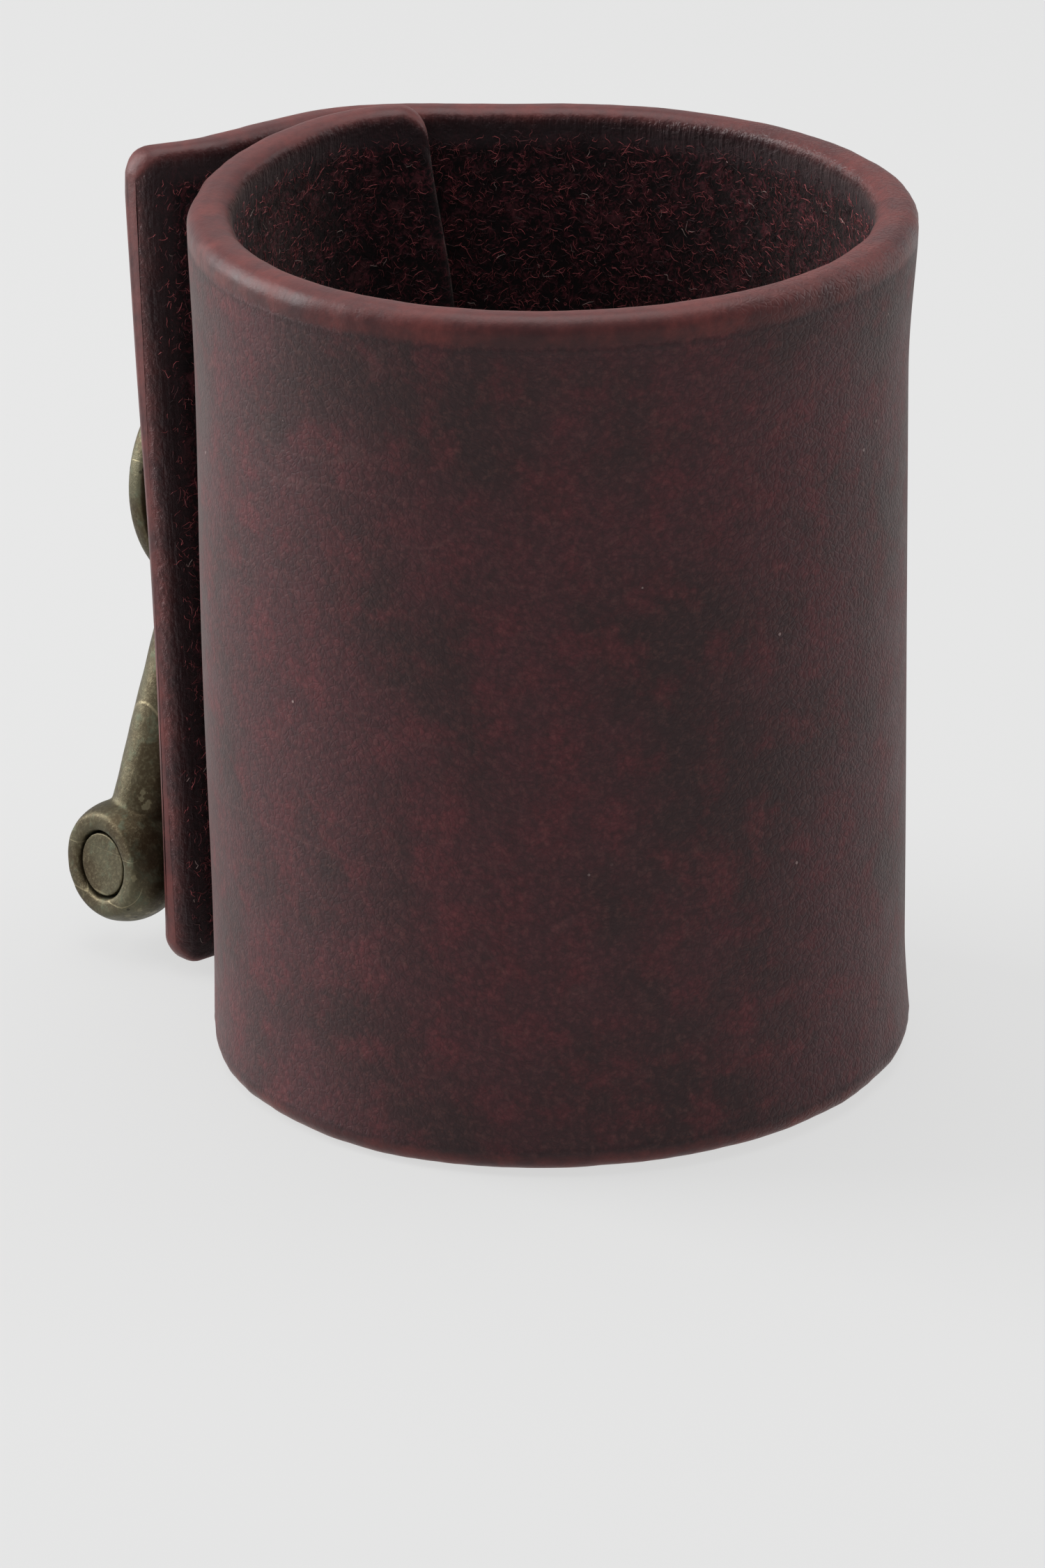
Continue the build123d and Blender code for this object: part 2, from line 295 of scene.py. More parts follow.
inward = np.clip(0.5 - offset / (2 * np.maximum(half_thick, 0.3)[:, None]), 0, 1)
to_end = strip_length - s + 0.6 * ease(inward, 0.80, 1.0)  # the nap comes nearly up to the flap's end
to_edge = np.minimum(np.minimum(from_top, from_bottom + 0.9), to_end)
add_attribute(wrap, "flesh", per_vertex(ease(inward, 0.80, 1.0)))
add_attribute(wrap, "to_edge", per_vertex(to_edge))
add_attribute(wrap, "edge", per_vertex(1 - ease(np.abs(inward - 0.5), 0.30, 0.5)))
strip_uv = wrap.data.uv_layers.new(name="strip")
loops = np.zeros(len(wrap.data.loops), np.int32)
wrap.data.loops.foreach_get("vertex_index", loops)
uv = np.stack([per_vertex(s), per_vertex(z)], -1) / 300.0
strip_uv.data.foreach_set("uv", uv[loops].ravel())
print("leather:", len(wrap.data.polygons), "faces")

# %% [markdown]
# ## The nap inside
# The flesh side of the leather is rough. Loose fibres lie on it in all directions, and they catch
# the light as short reddish threads. A bump pattern can't give such threads an outline, so several
# thousand hair-thin prisms are laid on the inner wall, each bent twice and a little lifted.


# %% Fibres as three-sided prisms with two bends
inner_first = side_count + 2 * len(quarter) + edge_count
inner_sheet = grid[:, inner_first : inner_first + side_count]


def on_sheet(row, column):
    """Point on the inner wall at a fractional row and column: bilinear between four grid points."""
    i = np.minimum(row.astype(int), inner_sheet.shape[0] - 2)
    j = np.minimum(column.astype(int), inner_sheet.shape[1] - 2)
    down, along_ring = (row - i)[:, None], (column - j)[:, None]
    first = inner_sheet[i, j] * (1 - along_ring) + inner_sheet[i, j + 1] * along_ring
    second = inner_sheet[i + 1, j] * (1 - along_ring) + inner_sheet[i + 1, j + 1] * along_ring
    return first * (1 - down) + second * down


def fibres(name, count, where, seed, length=(0.3, 1.35), thick=(0.013, 0.027)):
    """Each fibre is a chain p(n+1) = p(n) + L d(n) of three steps that start on the wall. Every d
    lies mostly in the wall, turns a little from the one before, and lifts off it at first."""
    random = np.random.default_rng(seed)
    row = np.interp(where[0] + random.random(count) * (where[1] - where[0]), distance, np.arange(len(distance)))
    column_at = 1.0 + random.random(count) * (side_count - 3)
    start = on_sheet(row, column_at)
    facing = outward[row.astype(int)]
    inside = np.concatenate([-facing, np.zeros((count, 1))], -1)
    side = np.stack([-facing[:, 1], facing[:, 0], np.zeros(count)], -1)
    up = np.array([0, 0, 1.0])
    angle = random.uniform(0, 2 * np.pi, count)
    reach = random.uniform(*length, count)[:, None] / 3
    stations = [start - inside * 0.02]
    for lift_low, lift_high, bend_by in ((0.05, 0.45, 0.0), (-0.05, 0.30, 0.9), (-0.35, 0.20, 0.9)):
        angle = angle + random.normal(0, 1, count) * bend_by
        step = side * np.cos(angle)[:, None] + up * np.sin(angle)[:, None]
        stations.append(stations[-1] + (step + inside * random.uniform(lift_low, lift_high, count)[:, None]) * reach)
    stations = np.stack(stations, 1)
    chord = stations[:, -1] - stations[:, 0]
    across = np.cross(chord, inside)
    across /= np.linalg.norm(across, axis=1, keepdims=True) + 1e-9
    above = np.cross(across, chord)
    above /= np.linalg.norm(above, axis=1, keepdims=True) + 1e-9
    a = np.radians([90, 210, 330])
    spoke = across[:, None, :] * np.cos(a)[None, :, None] + above[:, None, :] * np.sin(a)[None, :, None]
    width = random.uniform(*thick, count)[:, None, None, None] * np.array([1.0, 0.95, 0.8, 0.35])[None, :, None, None]
    cloud = (stations[:, :, None, :] + spoke[:, None] * width).reshape(-1, 3)
    quad = np.array([[0, 1, 4, 3], [1, 2, 5, 4], [2, 0, 3, 5]])
    ring = np.vstack([quad, quad + 3, quad + 6])
    first = 12 * np.arange(count)[:, None, None]
    faces = (ring[None] + first).reshape(-1, 4).tolist()
    faces += (np.array([[0, 2, 1], [9, 10, 11]])[None] + first).reshape(-1, 3).tolist()
    piece = new_piece(name, cloud, faces, "wrap", smooth=False)
    add_attribute(piece, "shade", np.repeat(random.random(count), 12))
    return piece


patch_ends = np.linspace(1.0, strip_length - 24.0, 7)
naps = [fibres(f"nap_{n + 1}", 9500, patch_ends[n : n + 2], 21 + n) for n in range(6)]
naps.append(fibres("flap_nap", 4200, (strip_length - 20.0, strip_length - 0.8), 30))
print("nap:", sum(len(nap.data.polygons) for nap in naps), "faces")

# %% [markdown]
# ## Turned brass
# The stud's cap, its neck, the bush, the washers and the pin were made on a lathe, so each is a
# profile turned about an axis. Sharp corners don't exist on worn brass: every profile has its
# corners cut by small arcs before it is turned.


# %% A profile with rounded corners, turned about an axis
def rounded(corners, radius, count=6, closed=False):
    """Replaces each corner by a curve from one side to the other: B(t) = (1-t)^2 a + 2t(1-t) c + t^2 b,
    where c is the corner and a and b lie a radius away from it along its two sides."""
    corners = np.asarray(corners, float)
    before, after = np.roll(corners, 1, 0), np.roll(corners, -1, 0)
    t = np.linspace(0, 1, count)[None, :, None]

    def towards(other):
        step = other - corners
        size = np.linalg.norm(step, axis=1, keepdims=True)
        return corners + step / size * np.minimum(radius, size * 0.45)

    a, b = towards(before)[:, None], towards(after)[:, None]
    curve = (1 - t) ** 2 * a + 2 * t * (1 - t) * corners[:, None] + t**2 * b
    if closed:
        return curve.reshape(-1, 2)
    return np.vstack([corners[:1], curve[1:-1].reshape(-1, 2), corners[-1:]])


def turn(profile, origin, axis, side, columns=96):
    """Grid of origin + h axis + r (cos a side + sin a across), for each (r, h) of the profile."""
    axis, side = np.asarray(axis, float), np.asarray(side, float)
    across = np.cross(axis, side)
    a = np.linspace(0, 2 * np.pi, columns, endpoint=False)
    ring = np.cos(a)[:, None] * side + np.sin(a)[:, None] * across
    return np.asarray(origin) + profile[:, 1, None, None] * axis + profile[:, 0, None, None] * ring


def turned_piece(name, profile, node, body, origin, axis, side, closed=False):
    """A turned shell that stands for a CAD node; a closed profile gives a ring with a hole."""
    grid = turn(profile, origin, axis, side)
    if closed:
        rows, columns = grid.shape[:2]
        faces = ring_faces(rows + 1, columns) % (rows * columns)
        points, faces = grid.reshape(-1, 3), faces.tolist()
    else:
        points, faces = tube(grid)
    piece = new_piece(name, points, faces, body)
    mend_normals(piece)
    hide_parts(node)
    return piece


def mend_normals(piece):
    """Merges doubled points and turns every face outwards."""
    import bmesh
    work = bmesh.new()
    work.from_mesh(piece.data)
    bmesh.ops.remove_doubles(work, verts=work.verts, dist=1e-7)
    bmesh.ops.recalc_face_normals(work, faces=work.faces)
    work.to_mesh(piece.data)
    work.free()


# %% The stud: domed cap, its base, the bush and the two washers
stud_origin = np.array([stud_x / MM, face_y, stud_z / MM])
out_axis, side_axis = (0, 1, 0), (1, 0, 0)
cap_r = (cap_high.x - cap_low.x) / 2 / MM
cap_base_h = (cap_low.y - flap_face_y) / MM
cap_top_h = (cap_high.y - flap_face_y) / MM
cap_edge, cap_wall = 1.8, 1.0
rise = cap_top_h - cap_base_h - cap_edge
dome_r = (cap_r**2 + rise**2) / (2 * rise)
sweep = np.linspace(0, 1, 40) * np.arcsin(cap_r * 0.93 / dome_r)
dome = np.stack([dome_r * np.sin(sweep), cap_top_h - dome_r * (1 - np.cos(sweep))], -1)
rim_curve = rounded([dome[-1], (cap_r, cap_base_h + cap_edge), (cap_r, cap_base_h), (cap_r - cap_wall, cap_base_h)], 0.9)
cap_profile = np.vstack([dome[:-1], rim_curve, [(cap_r - cap_wall, cap_base_h + 0.6), (0.0, cap_base_h + 0.6)]])
cap = turned_piece("domed_cap", cap_profile, "cap_shell", "wrap", stud_origin, out_axis, side_axis)

base_low, base_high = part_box("cap_base")
base_r = (base_high.x - base_low.x) / 2 / MM
neck_r = 2.8
base_profile = rounded([(neck_r, cap_base_h + 0.05), (base_r - 0.05, cap_base_h + 0.05), (base_r - 0.05, cap_base_h + 0.55), (neck_r, cap_base_h + 0.55)], 0.12, closed=True)
cap_foot = turned_piece("cap_foot", base_profile, "cap_base", "wrap", stud_origin, out_axis, side_axis, True)

washer_r, shank_r, washer_thick = 5.0, 2.6, 0.8
inner_low, inner_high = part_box("inner_washer")


def washer(name, node, low_h):
    """A flat ring with soft edges."""
    high_h = low_h + washer_thick
    profile = rounded([(shank_r + 0.1, low_h), (washer_r, low_h), (washer_r, high_h), (shank_r + 0.1, high_h)], 0.18, closed=True)
    return turned_piece(name, profile, node, "wrap", stud_origin, out_axis, side_axis, True)


outer_washer = washer("outer_washer", "flap_washer", -washer_thick)
wall_washer = washer("wall_washer", "inner_washer", (inner_low.y - flap_face_y) / MM)

bush_low, bush_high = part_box("neck_bush")
bush_r = (bush_high.x - bush_low.x) / 2 / MM
bush_foot, bush_top = (bush_low.y - flap_face_y) / MM, (bush_high.y - flap_face_y) / MM
bush_corners = [(neck_r + 0.05, bush_foot), (bush_r, bush_foot), (bush_r, bush_top), (neck_r + 0.05, bush_top)]
bush_profile = rounded(bush_corners, 0.2, closed=True)
bush = turned_piece("turning_bush", bush_profile, "neck_bush", "bush", stud_origin, out_axis, side_axis, True)
print("cap", round(cap_r * 2, 1), "mm across, bush", round(bush_r * 2, 1), "mm across")

# %% [markdown]
# ## The cast shackle
# A casting has no sharp inside corners: where an arm meets its ear, the metal flows from one to the
# other. The rod is a circle carried along its path and each ear is a turned ring. The three are
# joined by remeshing them into one skin, and a few rounds of smoothing make the soft fillets.

# %% The shackle's own axes, then rod and ears
bow_height, pin_height, shackle_length = 4.1, 6.5, 36.5
rod_r, ear_r, ear_x, ear_half, arm_inset = 3.1, 5.9, 14.2, 3.3, 0.8
bore_r = 3.33
bow_r = bush_r + 0.2 + rod_r
hang = np.radians(6.0)
lean = np.arcsin((pin_height - bow_height) / shackle_length)
to_flap_end = np.array([-np.cos(hang), 0, np.sin(hang)])
up_shackle = np.array([np.sin(hang) * np.cos(lean), -np.sin(lean), np.cos(hang) * np.cos(lean)])
out_of_plane = np.cross(to_flap_end, up_shackle)
bow_centre = stud_origin + np.array([0, bow_height, 0])


def shackle_place(u, v, w=0.0):
    """Point at u towards the flap's end, v up the shackle and w out of its plane."""
    return bow_centre + np.multiply.outer(u, to_flap_end) + np.multiply.outer(v, up_shackle) + w * out_of_plane


foot_x = ear_x - arm_inset
arm_turn = np.arccos(bow_r / np.hypot(foot_x, shackle_length)) - np.arctan2(shackle_length, foot_x)
bend = arc(0, 0, bow_r, np.degrees(arm_turn), 180 - np.degrees(arm_turn), 60)
foot = np.array([foot_x, -shackle_length])
share = np.linspace(0.10, 1, 60)[:, None]
arm = foot + (bend[0] - foot) * share
path = np.vstack([arm[:-1], bend, (arm[:-1] * [-1, 1])[::-1]])
forward = np.gradient(path, axis=0)
forward /= np.linalg.norm(forward, axis=1, keepdims=True)
sideways = forward[:, 1, None] * to_flap_end - forward[:, 0, None] * up_shackle
a = np.linspace(0, 2 * np.pi, 64, endpoint=False)
to_bend = ease(np.abs(path[:, 0]), bow_r, foot_x)
thickness = (rod_r - 0.05 + 0.12 * to_bend)[:, None, None]
ring = np.cos(a)[None, :, None] * sideways[:, None] + np.sin(a)[None, :, None] * out_of_plane
rod_grid = shackle_place(path[:, 0], path[:, 1])[:, None] + thickness * ring

ear_flat = np.sqrt(ear_r**2 - ear_half**2)
ear_arc = np.linspace(-1, 1, 41) * np.arcsin(ear_half / ear_r)
ball = np.stack([ear_r * np.cos(ear_arc), ear_r * np.sin(ear_arc)], -1)
dish = np.array([(bore_r + 0.15, ear_half + 0.02), (bore_r, ear_half - 0.25), (bore_r, -ear_half + 0.25), (bore_r + 0.15, -ear_half - 0.02)])
ear_profile = np.vstack([ball, dish])
shells = [tube(rod_grid)]
for x in (ear_x, -ear_x):
    ear_grid = turn(ear_profile, shackle_place(x, -shackle_length), to_flap_end, up_shackle)
    rows, columns = ear_grid.shape[:2]
    shells.append((ear_grid.reshape(-1, 3), (ring_faces(rows + 1, columns) % (rows * columns)).tolist()))

# %% Joining by voxels, smoothing, and the slight unevenness of a casting
points, faces = np.zeros((0, 3)), []
for shell_points, shell_faces in shells:
    faces += [[corner + len(points) for corner in face] for face in shell_faces]
    points = np.vstack([points, shell_points])
rough = new_piece("shackle_shells", points, faces, "shackle")
mend_normals(rough)
voxels = rough.modifiers.new("voxels", "REMESH")
voxels.mode, voxels.voxel_size, voxels.use_smooth_shade = "VOXEL", 0.19 * MM, True
soften = rough.modifiers.new("soften", "SMOOTH")
soften.factor, soften.iterations = 0.5, 14
cast = bpy.data.meshes.new_from_object(rough.evaluated_get(bpy.context.evaluated_depsgraph_get()))
bpy.data.objects.remove(rough)
count = len(cast.vertices)
co, no = np.zeros(count * 3), np.zeros(count * 3)
cast.vertices.foreach_get("co", co)
cast.vertices.foreach_get("normal", no)
co, no = co.reshape(-1, 3) / MM, no.reshape(-1, 3)
dents = ripple(co[:, 0] + co[:, 2] * 0.4, co[:, 1] + co[:, 2] * 0.8, 0.5, 9, 31) * 0.035
dents += ripple(co[:, 0] * 1.1 - co[:, 2], co[:, 1] - co[:, 2] * 0.3, 1.3, 9, 32) * 0.016
cast.vertices.foreach_set("co", ((co + no * (dents[:, None] + 0.03)) * MM).ravel())
cast.polygons.foreach_set("use_smooth", np.ones(len(cast.polygons), bool))
cast.name = "cast_shackle"
shackle = bpy.data.objects.new("cast_shackle", cast)
bpy.context.scene.collection.objects.link(shackle)
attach(shackle, "shackle")
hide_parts("shackle_bow")
print("shackle:", len(cast.polygons), "faces")

# %% The cross pin: a plain pin with a worn edge on its visible end
pin_r, tail_r, recess = 3.03, 2.4, 0.3
face_h = ear_x + ear_half - recess
shoulder_h = -ear_x + ear_half + 0.1
tail_h = shoulder_h - 4.4
end_dish = np.array([(0.0, face_h - 0.06), (1.2, face_h - 0.05), (2.2, face_h - 0.02), (2.7, face_h)])
pin_profile = np.vstack([
    end_dish,
    rounded([(2.7, face_h), (pin_r, face_h), (pin_r, shoulder_h), (tail_r, shoulder_h), (tail_r, tail_h), (0.0, tail_h)], 0.16)[1:],
])
pin_origin = shackle_place(0.0, -shackle_length)
pin = turned_piece("cross_pin", pin_profile, "shackle_pin", "shackle", pin_origin, to_flap_end, up_shackle)
print("pin", round(face_h - tail_h, 1), "mm long")

# %% [markdown]
# ## Finishes
# Materials are built by a small helper, so that each one reads as a list of steps. All patterns
# use Object coordinates in metres: a scale of 1000 gives features about a millimetre across. What
# more than one finish needs, such as clouds, grain and scratches, is a node group with named inputs.


# %% A helper that adds a node, sets it and links its inputs
def add(tree, kind, out=0, **given):
    """Adds a node. A value that is a socket is linked, and any other sets the input or property."""
    node = tree.nodes.new(kind)
    for key, value in given.items():
        if hasattr(node, key) and key not in ("color", "inputs"):
            setattr(node, key, value)
            continue
        name = key.replace("_", " ")
        socket = node.inputs[int(key[1:])] if key[1:].isdigit() else node.inputs[name]
        if isinstance(value, bpy.types.NodeSocket):
            tree.links.new(value, socket)
        else:
            socket.default_value = value
    return node.outputs[out]


def srgb(r, g, b):
    """Colour from 0 to 255 as the linear numbers that shading uses: ((c + 0.055) / 1.055)^2.4."""
    c = np.array([r, g, b]) / 255
    linear = np.where(c <= 0.04045, c / 12.92, ((c + 0.055) / 1.055) ** 2.4)
    return (*linear.tolist(), 1.0)


def math(tree, operation, a, b=0.0, clamp=False):
    """One arithmetic step."""
    return add(tree, "ShaderNodeMath", operation=operation, use_clamp=clamp, i0=a, i1=b)


def blend(tree, factor, a, b, blend_type="MIX"):
    """Mixes two colours by a factor."""
    return add(tree, "ShaderNodeMix", 2, data_type="RGBA", blend_type=blend_type, i0=factor, i6=a, i7=b)


def between(tree, value, low, high, to_low=0.0, to_high=1.0):
    """Maps low..high smoothly to to_low..to_high."""
    return add(tree, "ShaderNodeMapRange", interpolation_type="SMOOTHSTEP", i0=value, i1=low, i2=high, i3=to_low, i4=to_high)


def group(name, inputs, outputs):
    """An empty node group with named inputs and outputs."""
    tree = bpy.data.node_groups.new(name, "ShaderNodeTree")
    for label, kind, value in inputs:
        socket = tree.interface.new_socket(label, in_out="INPUT", socket_type=kind)
        if value is not None:
            socket.default_value = value
    for label, kind in outputs:
        tree.interface.new_socket(label, in_out="OUTPUT", socket_type=kind)
    return tree, tree.nodes.new("NodeGroupInput"), tree.nodes.new("NodeGroupOutput")


def use(tree, made, **given):
    """Places a group in a material and gives its inputs."""
    node = tree.nodes.new("ShaderNodeGroup")
    node.node_tree = made
    for key, value in given.items():
        socket = node.inputs[key.replace("_", " ")]
        if isinstance(value, bpy.types.NodeSocket):
            tree.links.new(value, socket)
        else:
            socket.default_value = value
    return node.outputs


FLOAT, VECTOR = "NodeSocketFloat", "NodeSocketVector"

# %% Group: clouds of dye or patina, in three sizes
clouds, g_in, g_out = group("clouds", [("Vector", VECTOR, None), ("Scale", FLOAT, 80.0)], [("Large", FLOAT), ("Middle", FLOAT), ("Fine", FLOAT)])
for output, times, detail in (("Large", 1.0, 3.0), ("Middle", 4.3, 4.0), ("Fine", 19.0, 4.0)):
    scale = math(clouds, "MULTIPLY", g_in.outputs["Scale"], times)
    value = add(clouds, "ShaderNodeTexNoise", Vector=g_in.outputs["Vector"], Scale=scale, Detail=detail, Roughness=0.6)
    clouds.links.new(value, g_out.inputs[output])

# %% Group: pebbled grain, cells with soft creases between them
pebble, g_in, g_out = group("pebble grain", [("Vector", VECTOR, None), ("Scale", FLOAT, 1100.0)], [("Height", FLOAT), ("Crease", FLOAT)])
bend_noise = add(pebble, "ShaderNodeTexNoise", 1, Vector=g_in.outputs["Vector"], Scale=420.0, Detail=2.0)
nudge = add(pebble, "ShaderNodeVectorMath", operation="SCALE", i0=bend_noise, Scale=0.0011)
warped = add(pebble, "ShaderNodeVectorMath", operation="ADD", i0=g_in.outputs["Vector"], i1=nudge)
cell = add(pebble, "ShaderNodeTexVoronoi", feature="DISTANCE_TO_EDGE", Vector=warped, Scale=g_in.outputs["Scale"])
crease = between(pebble, cell, 0.0, 0.22)
pore = add(pebble, "ShaderNodeTexNoise", Vector=g_in.outputs["Vector"], Scale=3800.0, Detail=2.0)
height_sum = math(pebble, "ADD", crease, math(pebble, "MULTIPLY", pore, 0.45))
pebble.links.new(height_sum, g_out.inputs["Height"])
pebble.links.new(math(pebble, "SUBTRACT", 1.0, crease), g_out.inputs["Crease"])

# %% Group: scratches, thin lines where a long stretched noise crosses its middle value
scratch, g_in, g_out = group("scratches", [("Vector", VECTOR, None), ("Scale", FLOAT, 60.0), ("Width", FLOAT, 0.004)], [("Mask", FLOAT)])
total = None
for index, turn_by in enumerate(((0.4, 0.9, 0.2), (1.3, 0.2, 1.1), (2.2, 0.6, 0.5))):
    turned = add(scratch, "ShaderNodeMapping", Vector=g_in.outputs["Vector"], Rotation=turn_by, Scale=(1.0, 0.06, 1.0), Location=(index * 0.37, 0, 0))
    line = add(scratch, "ShaderNodeTexNoise", Vector=turned, Scale=g_in.outputs["Scale"], Detail=1.0, Distortion=0.3)
    off = math(scratch, "ABSOLUTE", math(scratch, "SUBTRACT", line, 0.5))
    thin = math(scratch, "SUBTRACT", 1.0, math(scratch, "DIVIDE", off, g_in.outputs["Width"]), clamp=True)
    patch = add(scratch, "ShaderNodeTexNoise", Vector=turned, Scale=170.0, Detail=1.0)
    masked = math(scratch, "MULTIPLY", thin, between(scratch, patch, 0.60, 0.68))
    total = masked if total is None else math(scratch, "MAXIMUM", total, masked)
scratch.links.new(total, g_out.inputs["Mask"])

# %% Group: specks, a few small dots
specks, g_in, g_out = group("specks", [("Vector", VECTOR, None), ("Scale", FLOAT, 260.0), ("Size", FLOAT, 0.10)], [("Mask", FLOAT)])
dot = add(specks, "ShaderNodeTexVoronoi", Vector=g_in.outputs["Vector"], Scale=g_in.outputs["Scale"])
few = add(specks, "ShaderNodeTexNoise", Vector=g_in.outputs["Vector"], Scale=150.0, Detail=1.0)
inside_dot = math(specks, "LESS_THAN", dot, g_in.outputs["Size"])
specks.links.new(math(specks, "MULTIPLY", inside_dot, between(specks, few, 0.58, 0.62)), g_out.inputs["Mask"])
print("groups:", [tree.name for tree in bpy.data.node_groups])

# %% [markdown]
# ### Waxed leather
# One material covers the whole strip, because the colour runs on from face to rim. Attributes say
# where the flesh side and the burnished rim are. The grain side is dark wine brown with cloudy red
# patches; wax leaves a grey bloom that shows at shallow angles, which sheen gives.


# %% The leather material
def new_material(name):
    """A material with an empty tree but for the Principled shader and the output."""
    material = bpy.data.materials.new(name)
    material.use_nodes = True
    tree = material.node_tree
    return material, tree, next(n for n in tree.nodes if n.type == "BSDF_PRINCIPLED")


def attribute(tree, name):
    """A number stored on the piece's points."""
    return add(tree, "ShaderNodeAttribute", 2, attribute_name=name)


leather_material, tree, shader = new_material("waxed_leather")
where = add(tree, "ShaderNodeTexCoord", 3)
flesh, to_edge_mm, edge = (attribute(tree, n) for n in ("flesh", "to_edge", "edge"))
cloud = use(tree, clouds, Vector=where, Scale=62.0)
grain = use(tree, pebble, Vector=where, Scale=1700.0)
lines = use(tree, scratch, Vector=where, Scale=95.0, Width=0.006)
dots = use(tree, specks, Vector=where, Scale=330.0, Size=0.05)
speckle = add(tree, "ShaderNodeTexNoise", Vector=where, Scale=1500.0, Detail=5.0, Roughness=0.75)

ragged = math(tree, "MULTIPLY", math(tree, "SUBTRACT", cloud["Fine"], 0.5), 0.8)
from_edge = math(tree, "ADD", to_edge_mm, ragged)
rim_outside = between(tree, from_edge, 2.0, 3.0, 1.0, 0.0)
rim_inside = between(tree, from_edge, 0.9, 2.3, 1.0, 0.0)
rim = add(tree, "ShaderNodeMix", 0, data_type="FLOAT", i0=flesh, i2=rim_outside, i3=rim_inside)

# %% Its colours: mottled face, burnished rim and dark nap
deep, wine, rust = srgb(50, 28, 29), srgb(74, 34, 39), srgb(104, 44, 49)
patches = blend(tree, between(tree, cloud["Large"], 0.38, 0.62), deep, wine)
patches = blend(tree, between(tree, cloud["Middle"], 0.46, 0.70, 0.0, 0.55), patches, rust)
patches = blend(tree, between(tree, cloud["Fine"], 0.40, 0.68, 0.0, 0.45), patches, deep)
patches = blend(tree, between(tree, speckle, 0.32, 0.66, 0.52, 0.0), patches, srgb(36, 19, 21))
patches = blend(tree, between(tree, speckle, 0.48, 0.74, 0.0, 0.36), patches, srgb(100, 64, 58))
# The grain's creases are darkened here: painted shade in the creases.
patches = blend(tree, math(tree, "MULTIPLY", grain["Crease"], 0.22), patches, srgb(30, 16, 18))
patches = blend(tree, math(tree, "MULTIPLY", lines["Mask"], 0.07), patches, srgb(130, 92, 88))
patches = blend(tree, math(tree, "MULTIPLY", dots["Mask"], 0.5), patches, srgb(160, 140, 135))

burnished = blend(tree, between(tree, cloud["Middle"], 0.30, 0.75), srgb(58, 27, 28), srgb(96, 43, 40))
burnished = blend(tree, math(tree, "MULTIPLY", edge, 0.30), burnished, srgb(108, 56, 52))
burnished = blend(tree, between(tree, speckle, 0.35, 0.65, 0.25, 0.0), burnished, srgb(34, 16, 19))
surface = blend(tree, rim, patches, burnished)
# The crease line near each rim: a groove in the relief, and its colour darkened as painted shade in that groove.
crease = math(tree, "MULTIPLY", between(tree, from_edge, 2.5, 2.9), between(tree, from_edge, 2.9, 3.4, 1.0, 0.0))
crease = math(tree, "MULTIPLY", crease, math(tree, "SUBTRACT", 1.0, flesh))
surface = blend(tree, math(tree, "MULTIPLY", crease, 0.28), surface, srgb(30, 16, 18))
turned_in = math(tree, "MULTIPLY", between(tree, from_edge, 0.3, 1.3), between(tree, from_edge, 2.4, 4.0, 1.0, 0.0))
fold_band = math(tree, "MULTIPLY", turned_in, flesh)

nap_noise = add(tree, "ShaderNodeTexNoise", Vector=where, Scale=1300.0, Detail=5.0, Roughness=0.75, Distortion=1.6)
nap = blend(tree, between(tree, nap_noise, 0.46, 0.66), srgb(15, 6, 8), srgb(84, 34, 41))
clump = add(tree, "ShaderNodeTexNoise", Vector=where, Scale=430.0, Detail=4.0, Roughness=0.65, Distortion=0.8)
nap = blend(tree, between(tree, clump, 0.38, 0.56, 0.85, 0.0), nap, srgb(12, 6, 8))
nap = blend(tree, between(tree, clump, 0.56, 0.70, 0.0, 0.45), nap, srgb(92, 48, 52))
on_flesh = math(tree, "MULTIPLY", flesh, math(tree, "SUBTRACT", 1.0, rim), clamp=True)
skin = blend(tree, on_flesh, surface, nap)
skin = blend(tree, math(tree, "MULTIPLY", fold_band, 0.75), skin, srgb(50, 38, 40))
tree.links.new(skin, shader.inputs["Base Color"])

# %% Its roughness and relief, with fine wrinkles where the rim turns inwards
rough = between(tree, cloud["Middle"], 0.30, 0.75, 0.52, 0.64)
rough = math(tree, "SUBTRACT", rough, math(tree, "MULTIPLY", rim, 0.13))
rough = math(tree, "ADD", rough, math(tree, "MULTIPLY", on_flesh, 0.5), clamp=True)
tree.links.new(rough, shader.inputs["Roughness"])

strip_place = add(tree, "ShaderNodeUVMap", uv_map="strip")
across_rim = add(tree, "ShaderNodeMapping", Vector=strip_place, Scale=(620.0, 60.0, 1.0))
wrinkle = add(tree, "ShaderNodeTexNoise", Vector=across_rim, Scale=1.0, Detail=3.0, Roughness=0.6)
wrinkled = math(tree, "MULTIPLY", wrinkle, fold_band)
belly_side = add(tree, "ShaderNodeVectorMath", 1, operation="DOT_PRODUCT", i0=where, i1=(0.743, -0.669, 0.0))
coarse = between(tree, belly_side, 0.014, 0.034, 0.35, 1.25)  # the hide's grain is coarser on one side
relief = math(tree, "MULTIPLY", grain["Height"], math(tree, "SUBTRACT", coarse, math(tree, "MULTIPLY", rim, 0.35)))
relief = math(tree, "SUBTRACT", relief, math(tree, "MULTIPLY", crease, 0.8))
relief = math(tree, "ADD", relief, math(tree, "MULTIPLY", cloud["Fine"], 0.9))
relief = math(tree, "ADD", relief, math(tree, "MULTIPLY", speckle, 0.5))
relief = math(tree, "ADD", relief, math(tree, "MULTIPLY", wrinkled, 16.0))
relief = math(tree, "SUBTRACT", relief, math(tree, "MULTIPLY", lines["Mask"], 0.15))
relief = math(tree, "ADD", relief, math(tree, "MULTIPLY", math(tree, "MULTIPLY", nap_noise, on_flesh), 12.0))
relief = math(tree, "ADD", relief, math(tree, "MULTIPLY", math(tree, "MULTIPLY", clump, on_flesh), 26.0))
bump = add(tree, "ShaderNodeBump", Strength=0.42, Distance=0.00012, Height=relief)
tree.links.new(bump, shader.inputs["Normal"])
shader.inputs["Specular IOR Level"].default_value = 0.27
